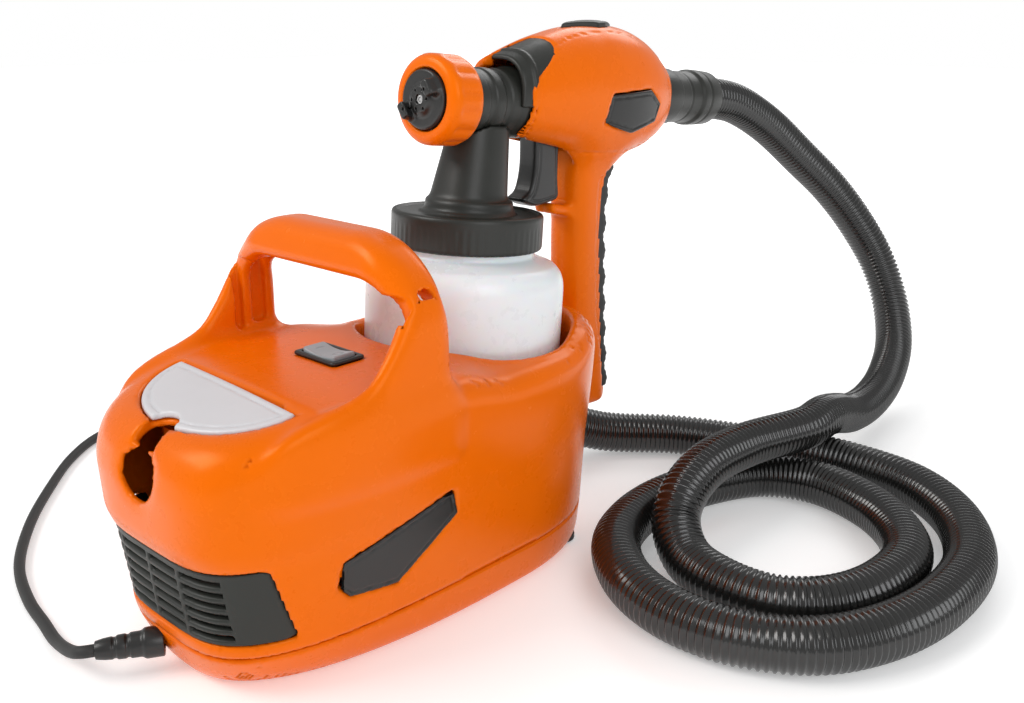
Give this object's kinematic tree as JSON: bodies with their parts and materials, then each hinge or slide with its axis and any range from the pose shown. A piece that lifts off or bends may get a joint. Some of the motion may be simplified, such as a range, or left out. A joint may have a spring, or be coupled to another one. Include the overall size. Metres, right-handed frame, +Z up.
{
  "type": "paint sprayer",
  "caption": "Turbine paint sprayer: floor unit with carrying handle and cup holder, trigger spray gun on its paint cup, corrugated air hose and mains lead.",
  "frame": {"origin": "middle of the product without its hose and lead, at the floor under the feet", "axes": "+Z up, -Y the front of the floor unit and the way the nozzle points, +X the side with the blank badge"},
  "size_m": [0.5735, 0.6644, 0.2983],
  "materials": {
    "orange_plastic": "moulded, glossy",
    "dark_grey_plastic": "moulded, satin",
    "black_plastic": "moulded, satin",
    "light_grey_plastic": "moulded, satin",
    "rocker_plastic": "moulded, satin",
    "cup_plastic": "translucent white, smooth",
    "hose_plastic": "corrugated, glossy",
    "rubber": "soft, matt",
    "filter_foam": "open foam",
    "steel": "turned, plain",
    "aluminium": "cast, plain"
  },
  "bodies": {
    "base": {"main_housing": "orange_plastic", "base_tray": "orange_plastic", "foot_front_left": "rubber", "foot_front_right": "rubber", "foot_rear_left": "rubber", "foot_rear_right": "rubber", "tray_screw_front_left": "steel", "tray_screw_front_right": "steel", "tray_screw_rear_left": "steel", "tray_screw_rear_right": "steel", "front_grille": "dark_grey_plastic", "air_filter": "filter_foam", "lid_hinge_pin": "steel", "accessory_tray": "orange_plastic", "switch_frame": "black_plastic", "motor": "steel", "turbine_case": "aluminium", "motor_mount_front": "rubber", "motor_mount_rear": "rubber", "air_duct": "black_plastic", "outlet_socket": "dark_grey_plastic", "badge_plate": "black_plastic", "air_hose_riser": "hose_plastic", "air_hose_loops": "hose_plastic", "hose_cuff": "dark_grey_plastic", "cord_relief": "rubber", "power_cord": "rubber", "cord_coil": "rubber", "cord_tail": "rubber", "mains_plug": "rubber", "plug_blade_left": "steel", "plug_blade_right": "steel"},
    "gun": {"cup_gasket": "rubber", "cup_lid": "dark_grey_plastic", "suction_tube": "cup_plastic", "barrel": "dark_grey_plastic", "fluid_tip": "steel", "nozzle_seal": "cup_plastic", "needle_spring": "steel", "spring_stop": "aluminium", "gun_shell_right": "orange_plastic", "gun_shell_left": "orange_plastic", "top_cap": "dark_grey_plastic", "gun_plate": "black_plastic", "grip_pad": "rubber", "shell_screw_1": "steel", "shell_screw_2": "steel", "shell_screw_3": "steel", "trigger_pin": "steel", "hose_sleeve": "dark_grey_plastic"},
    "cup": {"paint_cup": "cup_plastic"},
    "trigger": {"trigger": "black_plastic"},
    "needle": {"needle": "steel"},
    "nozzle_ring": {"nozzle_ring": "orange_plastic"},
    "air_cap": {"air_cap": "black_plastic"},
    "lid": {"accessory_lid": "light_grey_plastic"},
    "rocker": {"switch_rocker": "rocker_plastic"},
    "impeller": {"impeller": "aluminium"}
  },
  "joints": [
    {"name": "gun_lift", "type": "slide", "parent": "base", "child": "gun", "axis": [0, 0.0785, 0.9969], "range_m": [0, 0.07]},
    {"name": "trigger_pull", "type": "hinge", "parent": "gun", "child": "trigger", "pos_m": [0, 0.04469, 0.27208], "axis": [1, 0, 0], "range_deg": [0, 7.2], "stiffness_Nm_per_rad": 2.5, "springref_deg": -8.59},
    {"name": "needle_slide", "type": "slide", "parent": "gun", "child": "needle", "axis": [0, 0.9969, -0.0785], "range_m": [0, 0.003], "deforming": ["needle_spring"]},
    {"name": "nozzle_ring_turn", "type": "hinge", "parent": "gun", "child": "nozzle_ring", "pos_m": [0, -0.02483, 0.25548], "axis": [0, 0.9969, -0.0785], "range_deg": [0, 360]},
    {"name": "air_cap_turn", "type": "hinge", "parent": "gun", "child": "air_cap", "pos_m": [0, -0.03879, 0.25658], "axis": [0, 0.9969, -0.0785], "range_deg": [-45, 45]},
    {"name": "cup_turn", "type": "hinge", "parent": "gun", "child": "cup", "pos_m": [0, -0.01509, 0.12432], "axis": [0, 0.0785, 0.9969], "range_deg": [0, 180]},
    {"name": "lid_open", "type": "hinge", "parent": "base", "child": "lid", "pos_m": [0, -0.1643, 0.1314], "axis": [-1, 0, 0], "range_deg": [0, 95]},
    {"name": "rocker_tilt", "type": "hinge", "parent": "base", "child": "rocker", "pos_m": [0, -0.1088, 0.134], "axis": [0, 1, 0], "range_deg": [-8, 8]},
    {"name": "impeller_spin", "type": "hinge", "parent": "base", "child": "impeller", "pos_m": [0, -0.1148, 0.057], "axis": [0, 1, 0], "continuous": true}
  ],
  "couplings": [
    {"joint": "needle_slide", "follows": "trigger_pull", "m_per_rad": 0.022}
  ]
}
